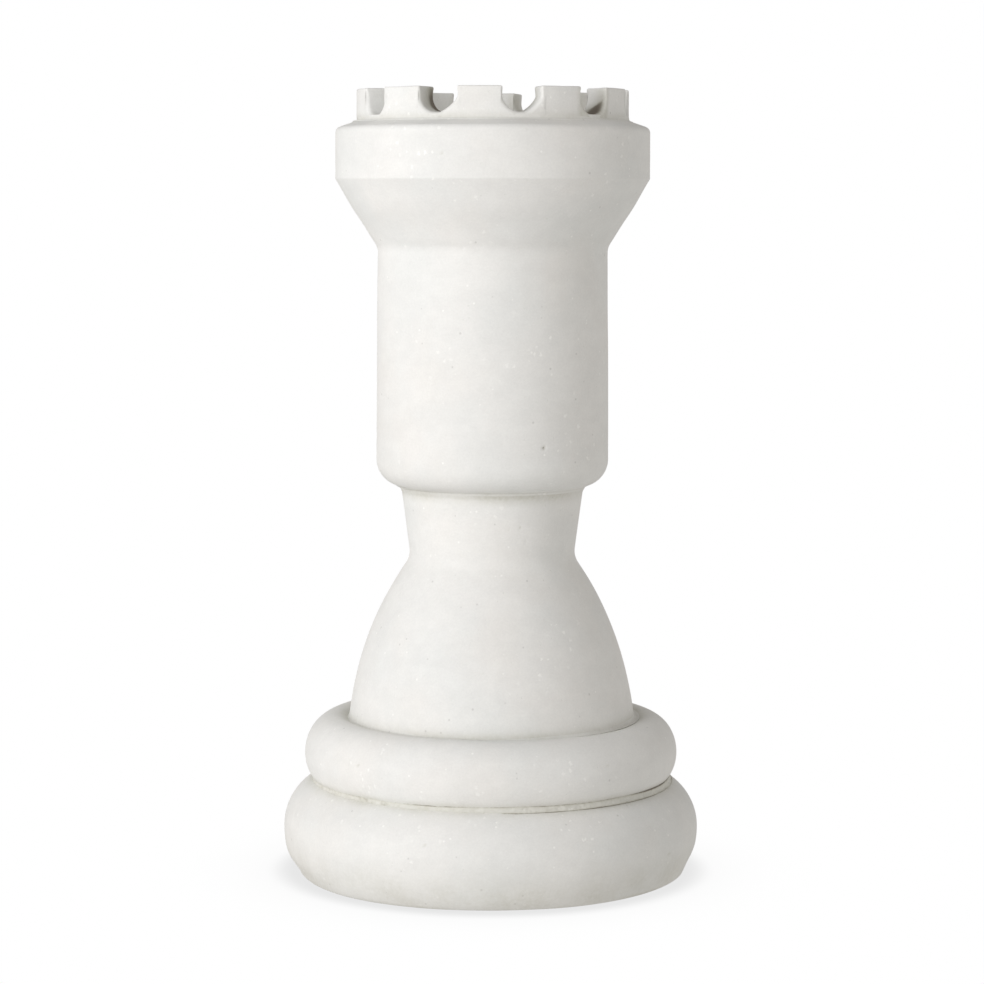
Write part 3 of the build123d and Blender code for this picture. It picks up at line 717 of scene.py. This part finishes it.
def base_seam():
    """Rough mortar that fills the groove between the two base rings."""
    low_r = BASE_R - ROUND_R + math.sqrt(ROUND_R ** 2 - (FILL_LOW - WAIST) ** 2) - 0.5
    high_r = CREST_R + ROLL_R * math.sqrt(1 - ((FILL_HIGH - RING_WAIST) / RING_TUCK) ** 2) - 0.5
    outline = joined(
        [(86.0, SEAM_LOW)], straight((100.0, SEAM_LOW), (SEAM_R - 2.0, SEAM_LOW), 4.0),
        straight((low_r - 0.8, FILL_LOW), (low_r, FILL_LOW), 0.35),
        straight((low_r, FILL_LOW), (high_r, FILL_HIGH), 0.3),
        straight((high_r, FILL_HIGH), (high_r - 0.8, FILL_HIGH), 0.35),
        straight((SEAM_R - 2.0, SEAM_HIGH), (100.0, SEAM_HIGH), 4.0), [(86.0, SEAM_HIGH)])
    seam = lathe("base_seam_mortar", outline, [], 900, 2.0, (), crumbled)
    # Thin dark lines along both edges of the mortar are painted shadow of the groove, with olive grime; the
    # face takes grey grime.
    shaded_and_soiled(seam, [(low_r, FILL_LOW + 0.4, 1.4, 1.1), (high_r, FILL_HIGH - 0.5, 1.5, 1.15)], seam_dirt)
    finished(seam, MORTAR, ["base_seam_bed"])


# ---------------------------------------------------------------- upper base ring
def upper_base_ring(rng):
    """Second ring, whose top dips to the foot of the bell."""
    low_angle = math.degrees(math.asin((RING_LOW - RING_WAIST) / RING_TUCK))
    low_r = CREST_R + ROLL_R * math.cos(math.radians(low_angle))
    dip, dip_run = RING_TOP - BELL_SEAT, 9.0
    dip_r = (dip_run ** 2 + dip ** 2) / (2 * dip)
    dip_angle = 90 + math.degrees(math.asin(dip_run / dip_r))
    outline = joined(
        straight((130.0, RING_LOW), (low_r, RING_LOW), 3.0),
        arc((CREST_R, RING_WAIST), ROLL_R, RING_TUCK, low_angle, 0),
        arc((CREST_R, RING_WAIST), ROLL_R, RING_TOP - RING_WAIST, 0, 90),
        arc((CREST_R, RING_TOP - dip_r), dip_r, dip_r, 90, dip_angle),
        straight((CREST_R - dip_run, BELL_SEAT), (104.0, BELL_SEAT), 3.0))
    socket_r, socket_low = BELL_SPIGOT_R + FIT, BELL_SEAT - SOCKET
    hidden = [(socket_r, BELL_SEAT), (socket_r, socket_low), (RING_BORE_R, socket_low),
              (RING_BORE_R, RING_SPIGOT_Z), (RING_SPIGOT_R, RING_SPIGOT_Z), (RING_SPIGOT_R, RING_LOW)]
    seen_pits = [pit(-38, 101, 1.7, 0.9), pit(43, 103, 1.5, 0.6), pit(49, 104, 1.3, 0.5)]
    ring = lathe("upper_base_ring_stone", outline, hidden, 400, 3.0,
                 scattered(rng, 55, 78, 122) + seen_pits, off_centre)
    ring = bored(ring, dowel_holes(*BASE_DOWELS) + dowel_holes(*BELL_DOWELS))
    # Painted shade, with some grime, under the ring's edge at the seam and in the crease at the foot of the
    # bell; painted shade and grime in the seen pits.
    shaded_and_soiled(ring, [(141.0, RING_LOW, 3.4, 0.6), (113.5, BELL_SEAT, 7.5, 0.72)], None, seen_pits)
    finished(ring, STONE, ["upper_base_ring"])


# ---------------------------------------------------------------- bell and neck
def bell(rng):
    """Bell that sweeps up into the neck, hollow inside."""
    neck_r, flare, sweep_r = 70.6, 4.0, 269.0
    sweep_top = (70.0, 239.0)
    outline = joined(
        straight((103.0, BELL_LOW), (111.4, BELL_LOW), 3.0),
        bulge((BELL_R, BELL_LOW + 0.7), sweep_top, sweep_r),
        rounded([sweep_top, (64.0, 248.3), (neck_r, COLLAR - flare), (neck_r + flare / 2, COLLAR)],
                [18.0, flare]),
        straight((neck_r + flare / 2, COLLAR), (64.0, COLLAR), 3.0))
    socket_r, socket_low = TOWER_SPIGOT_R + FIT, COLLAR - SOCKET
    hidden = joined([(socket_r, COLLAR), (socket_r, socket_low), (THROAT_R, socket_low)],
                    bulge((80.0, BELL_LOW), (THROAT_R, sweep_top[1]), sweep_r, 10.0)[::-1],
                    [(80.0, BELL_SPIGOT_Z), (BELL_SPIGOT_R, BELL_SPIGOT_Z), (BELL_SPIGOT_R, BELL_LOW)])
    seen_pits = [pit(24.5, 277.0, 1.5, 0.7), pit(17, 276, 1.2, 0.5)]
    body = lathe("bell_stone", outline, hidden, 340, 4.0, scattered(rng, 75, 124, 298) + seen_pits)
    body = bored(body, dowel_holes(*BELL_DOWELS) + dowel_holes(*COLLAR_DOWELS))
    # Painted shade in the creases at the bell's foot and under the collar; painted shade and grime in the
    # seen pits.
    shaded_and_soiled(body, [(BELL_R, BELL_LOW, 5.5, 0.62), (72.0, COLLAR - 2.5, 5.0, 0.62)], None, seen_pits)
    finished(body, STONE, ["bell_section"])


# ---------------------------------------------------------------- tower, cone and band
def dressed(a, z):
    """Slight ridge where the flare was dressed into the shaft, and a slight bulge above it."""
    p = (math.sin(a) * 3.0, math.cos(a) * 3.0, 0.5)
    ridge = 0.35 * math.exp(-((z - 497.0) / 7.0) ** 2) * (0.6 + noise.noise(Vector(p)))
    return ridge + 0.8 * math.exp(-((z - 520.0) / 13.0) ** 2)


def tower(rng):
    """Straight tower with a rounded foot, the cone that flares from it, and the upright band."""
    low_r, high_r, cone_foot, band_low, band_high, ledge_r = 90.8, 89.1, 489.0, 541.7, 580.5, 105.6
    outline = rounded(
        [(63.0, TOWER_LOW), (low_r, TOWER_LOW), (high_r, cone_foot), (BAND_R, band_low), (BAND_R, band_high),
         (ledge_r, SHOULDER), (97.0, SHOULDER)], [20.5, 14.0, 2.0, 5.0, 1.2], 1.25)
    socket_r, socket_low = CROWN_SPIGOT_R + FIT, SHOULDER - SOCKET
    seat_r, bore_r, floor_ledge, plate_ledge = 73.0, 62.0, 570.0, 540.0
    hidden = [(socket_r, SHOULDER), (socket_r, socket_low), (WELL_R, socket_low), (WELL_R, floor_ledge),
              (seat_r, floor_ledge), (seat_r, plate_ledge), (bore_r, plate_ledge), (bore_r, 350.0),
              (THROAT_R, 325.0), (THROAT_R, TOWER_SPIGOT_Z), (TOWER_SPIGOT_R, TOWER_SPIGOT_Z),
              (TOWER_SPIGOT_R, TOWER_LOW)]
    seen_pits = [pit(31.6, 339.5, 1.9, 1.4), pit(-12, 560, 1.5, 0.6)]
    body = lathe("tower_stone", outline, hidden, 330, 5.0, scattered(rng, 90, 310, 578) + seen_pits, dressed)
    body = bored(body, dowel_holes(*COLLAR_DOWELS) + dowel_holes(*CROWN_DOWELS))
    # Painted shade in the crease where the shoulder meets the battlement and at the tower's foot; painted
    # shade and grime in the seen pits.
    shaded_and_soiled(body, [(105.0, SHOULDER, 4.0, 0.42), (73.0, TOWER_LOW, 3.0, 0.3)], None, seen_pits)
    finished(body, STONE, ["tower_section"])


# ---------------------------------------------------------------- battlement
# The notches that are seen, each by its place in the even ring of ten; here the floor is how far its
# level is from FLOOR. The others are like them, with small random differences.
FLOOR = CROWN_TOP - 19.4
SEEN = {-18: Notch(-16.8, 15.6, 14.6, 14.6, 14.6, 12.5, 14.2, 1.9, 1.3, 0.0, 1.25, 0.85),
        18: Notch(18.4, 15.4, 14.2, 13.4, 14.6, 13.5, 13.2, 1.8, 1.4, 0.0, 0.6, 0.9),
        54: Notch(53.0, 14.4, 13.2, 14.2, 21.0, 13.4, 12.6, 1.9, 1.9, -1.2, 1.1, 0.38),
        -54: Notch(-52.6, 13.6, 12.8, 8.5, 13.2, 12.0, 12.6, 2.1, 1.9, -1.5, 0.06, 0.8),
        162: Notch(165.5, 13.6, 13.6, 13.0, 11.0, 10.5, 10.5, 1.9, 1.9, 0.0, 0.7, 0.7)}


def all_notches(rng):
    """The ring of ten notches."""
    notches = []
    for i in range(10):
        nominal = -162 + 36 * i
        loose = [rng.uniform(-1, 1) for _ in range(8)]
        made_up = Notch(nominal + 0.9 * loose[0], *(14.0 + 0.6 * t for t in loose[1:5]),
                        *(11.0 + 1.5 * t for t in loose[5:7]), 1.9, 1.9, 0.6 * loose[7],
                        0.45 + 0.2 * loose[0], 0.75)
        notch = SEEN.get(nominal, made_up)
        notches.append(notch._replace(floor=FLOOR + notch.floor))
    return notches


def battlement(rng):
    """Ring of merlons, with painted shade and grime on the walls of the notches, darkest low down and towards
    the well.
    """
    notches = all_notches(rng)

    # Painted shade on the notch walls, with some grime: darker low down and round the share that worst_at
    # gives.
    def notch_shade_and_stain(p, r):
        angle = math.degrees(math.atan2(p.x, -p.y))
        inward = (CROWN_R - r) / (CROWN_R - WELL_R)
        worst = 0.0
        for notch in notches:
            side = math.radians((angle - notch.middle + 180) % 360 - 180) * r
            over = abs(side) - (notch.out_l if side < 0 else notch.out_r) - 1.0
            if over < 4.0 and p.z < CROWN_TOP:
                deep = min(1.0, (CROWN_TOP - p.z) / (CROWN_TOP - notch.floor))
                band = math.exp(-((inward - notch.worst_at) / 0.45) ** 2)
                share = (0.55 + 0.45 * deep) * min(1.0, 1.0 - over / 4.0)
                worst = max(worst, notch.stain * band * share)
        return worst

    ring = bored(crown("battlement_stone", notches, 6.0), dowel_holes(*CROWN_DOWELS))
    # Painted shade, with some grime, in the crease under the merlons and round the foot of the well.
    shaded_and_soiled(ring, [(CROWN_R, CROWN_LOW, 3.6, 0.40), (WELL_R, FLOOR_HIGH + 2, 11.0, 0.5)], notch_shade_and_stain)
    finished(ring, STONE, ["battlement_ring"])


# ---------------------------------------------------------------- floor of the well
def well_floor():
    """Disc with a small chamfer and four drain holes."""
    edge = 0.8
    outline = joined(straight((0.6, FLOOR_LOW), (FLOOR_R - edge, FLOOR_LOW), 6.0),
                     [(FLOOR_R, FLOOR_LOW + edge)],
                     straight((FLOOR_R, FLOOR_HIGH - edge), (FLOOR_R - edge, FLOOR_HIGH), 1.0),
                     straight((FLOOR_R - edge, FLOOR_HIGH), (0.6, FLOOR_HIGH), 2.0))
    well = lathe("well_floor_stone", outline, [], 160, 7.0)
    well = bored(well, hole_ring(4.0, 52.0, 4, 45, FLOOR_LOW - 2, FLOOR_HIGH + 2))
    # Painted shade round the edge of the well's floor.
    shaded_and_soiled(well, [(FLOOR_R, FLOOR_HIGH, 9.0, 0.55)])
    finished(well, STONE, ["well_floor"])


# ---------------------------------------------------------------- pointing of the three creases
def pointing(name, node_name, inner, face, radius, seed):
    """Joint filled with stone paste, struck to a small hollow fillet between the two stones."""
    low, high, _ = span(node_name)
    curve = rounded(face, [radius], 0.5)
    lower, upper = (curve[0][0] - 1.2, low), (curve[-1][0] - 1.2, high)
    outline = joined([(inner, low), lower], curve, [upper, (inner, high)])
    obj = lathe(name, outline, [], 360, seed)
    # Painted shade in the hollow fillet of the joint.
    shaded_and_soiled(obj, [(face[1][0], face[1][1], 3.2, 0.42)])
    finished(obj, STONE, [node_name])


# ---------------------------------------------------------------- carried-over hardware
def hardware():
    """Gives the CAD model's own pieces their finish, by the slot that each is in."""
    finish = {
        "stainless_steel": metal("stainless_steel", (0.62, 0.62, 0.60), (0.48, 0.48, 0.47),
                                 0.22, 0.42, (1, 1, 0.08)),
        "galvanised_steel": metal("galvanised_steel", (0.60, 0.61, 0.62), (0.42, 0.43, 0.44),
                                  0.38, 0.62, (1, 1, 1)),
        "brass": metal("brass", (0.78, 0.60, 0.30), (0.58, 0.43, 0.22), 0.25, 0.45, (1, 1, 0.1)),
        "black_rubber": moulded("black_rubber", (0.018, 0.018, 0.018), (0.07, 0.068, 0.065),
                                0.62, 0.85, 900),
        "dark_plastic": moulded("dark_plastic", (0.035, 0.036, 0.038), (0.075, 0.075, 0.075),
                                0.42, 0.62, 700),
        "bedding": MORTAR,
        "cast_stone": STONE,
    }
    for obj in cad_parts.values():
        if not obj.hide_render:
            slot = obj.data.materials[0].name
            obj.data.materials.clear()
            obj.data.materials.append(finish[slot])


# ---------------------------------------------------------------- studio
stage = bpy.context.scene
FILL = (1.0, 0.970, 0.943)    # colour of the soft light from all round


def pale_floor():
    """White glowing sheet with a painted contact shadow only under and close around the object."""
    mat = bpy.data.materials.new("pale_floor")
    tree = empty_tree(mat)
    # The contact shadow is painted from ambient occlusion into the sheet's glow.
    wide = node(tree, "ShaderNodeAmbientOcclusion", {"Distance": 0.11}, samples=16).outputs["AO"]
    near = node(tree, "ShaderNodeAmbientOcclusion", {"Distance": 0.026}, samples=16).outputs["AO"]
    level = times(tree, clamped(tree, wide, 0.45, 1.0, 0.95, 1.0), clamped(tree, near, 0.35, 0.95, 0.84, 1.0))
    glow = node(tree, "ShaderNodeEmission", {"Color": (1, 1, 1, 1), "Strength": level}).outputs[0]
    node(tree, "ShaderNodeOutputMaterial", {"Surface": glow})
    return mat


def studio_floor():
    """Wide floor under the object. It lights nothing, and only the painted shadow of its own material darkens
    it.
    """
    size = 30.0
    corners = [(-size, -size, 0), (size, -size, 0), (size, size, 0), (-size, size, 0)]
    mesh = bpy.data.meshes.new("studio_floor")
    mesh.from_pydata(corners, [], [(0, 1, 2, 3)])
    mesh.materials.append(pale_floor())
    floor = bpy.data.objects.new("studio_floor", mesh)
    stage.collection.objects.link(floor)
    floor.location.z = CAD_BOX[0].z
    floor.visible_diffuse = False
    floor.visible_glossy = False
    floor.visible_shadow = False


def surroundings():
    """Soft light from all round, strongest from the horizon; the camera sees plain white."""
    world = bpy.data.worlds.new("studio")
    stage.world = world
    tree = empty_tree(world)
    direction = node(tree, "ShaderNodeTexCoord").outputs["Generated"]
    toward = node(tree, "ShaderNodeSeparateXYZ", {0: direction}).outputs["Z"]
    above = node(tree, "ShaderNodeMapRange", {"Value": toward, "From Min": 0.0, "From Max": 1.0,
                                              "To Min": 0.80, "To Max": 0.25}).outputs["Result"]
    below = node(tree, "ShaderNodeMapRange", {"Value": toward, "From Min": -1.0, "From Max": 0.0,
                                              "To Min": 0.50, "To Max": 0.80}).outputs["Result"]
    soft = node(tree, "ShaderNodeBackground", {"Color": FILL + (1,),
                                               "Strength": maths(tree, "MINIMUM", above, below)})
    white = node(tree, "ShaderNodeBackground", {"Color": (1, 1, 1, 1), "Strength": 1.0})
    seen = node(tree, "ShaderNodeLightPath").outputs["Is Camera Ray"]
    sky = node(tree, "ShaderNodeMixShader", {0: seen, 1: soft.outputs[0], 2: white.outputs[0]})
    node(tree, "ShaderNodeOutputWorld", {"Surface": sky.outputs[0]})


def softbox(name, azimuth, elevation, distance, width, height, power, colour=(1, 1, 1)):
    """Soft area light aimed at the middle of the object; azimuth from -Y towards +X."""
    low, high = CAD_BOX
    middle = (low + high) / 2
    a, e = math.radians(azimuth), math.radians(elevation)
    away = Vector((math.sin(a) * math.cos(e), -math.cos(a) * math.cos(e), math.sin(e)))
    data = bpy.data.lights.new(name, "AREA")
    data.shape, data.size, data.size_y, data.energy, data.color = "RECTANGLE", width, height, power, colour
    light = bpy.data.objects.new(name, data)
    stage.collection.objects.link(light)
    light.location = middle + away * distance
    light.rotation_mode = "QUATERNION"
    light.rotation_quaternion = (-away).to_track_quat("-Z", "Y")


def viewpoint():
    """The camera: a little right of the front, just below the object's top, tilted slightly down."""
    azimuth, distance, height = math.radians(6.0), 2.3788, 0.5293
    pitch, yaw, roll = math.radians(5.55), math.radians(-0.0035), math.radians(0.1)
    camera = bpy.data.objects.new("camera", bpy.data.cameras.new("camera"))
    stage.collection.objects.link(camera)
    camera.data.lens, camera.data.sensor_width = 111.83, 36.0
    camera.location = (distance * math.sin(azimuth), -distance * math.cos(azimuth), height)
    turn = Matrix.Rotation(azimuth - yaw, 4, "Z") @ Matrix.Rotation(math.radians(90) - pitch, 4, "X")
    camera.rotation_euler = (turn @ Matrix.Rotation(roll, 4, "Z")).to_euler()
    camera.data.clip_end = 100.0
    stage.camera = camera


# ---------------------------------------------------------------- the whole scene
rng = random.Random(SEED)
lower_base_ring(rng)
base_seam()
upper_base_ring(rng)
bell(rng)
tower(rng)
battlement(rng)
well_floor()
pointing("bell_foot_pointing", "bell_foot_bed", 93.0,
         [(116.0, BELL_LOW + 1.2), (112.6, BELL_LOW + 0.2), (111.6, BELL_LOW + 3.6)], 2.2, 8.0)
pointing("collar_pointing", "collar_bed", 55.0,
         [(72.3, COLLAR - 1.0), (72.8, COLLAR + 0.8), (76.0, COLLAR + 1.9)], 1.6, 9.0)
pointing("battlement_pointing", "battlement_bed", 89.0,
         [(108.6, SHOULDER - 1.1), (105.2, SHOULDER - 0.1), (104.7, SHOULDER + 3.4)], 2.0, 10.0)
hardware()
studio_floor()
surroundings()
softbox("key", -37, 15, 2.2, 1.2, 1.8, 30.5, (1.0, 1.0, 1.03))
viewpoint()
stage.view_settings.view_transform = "Standard"
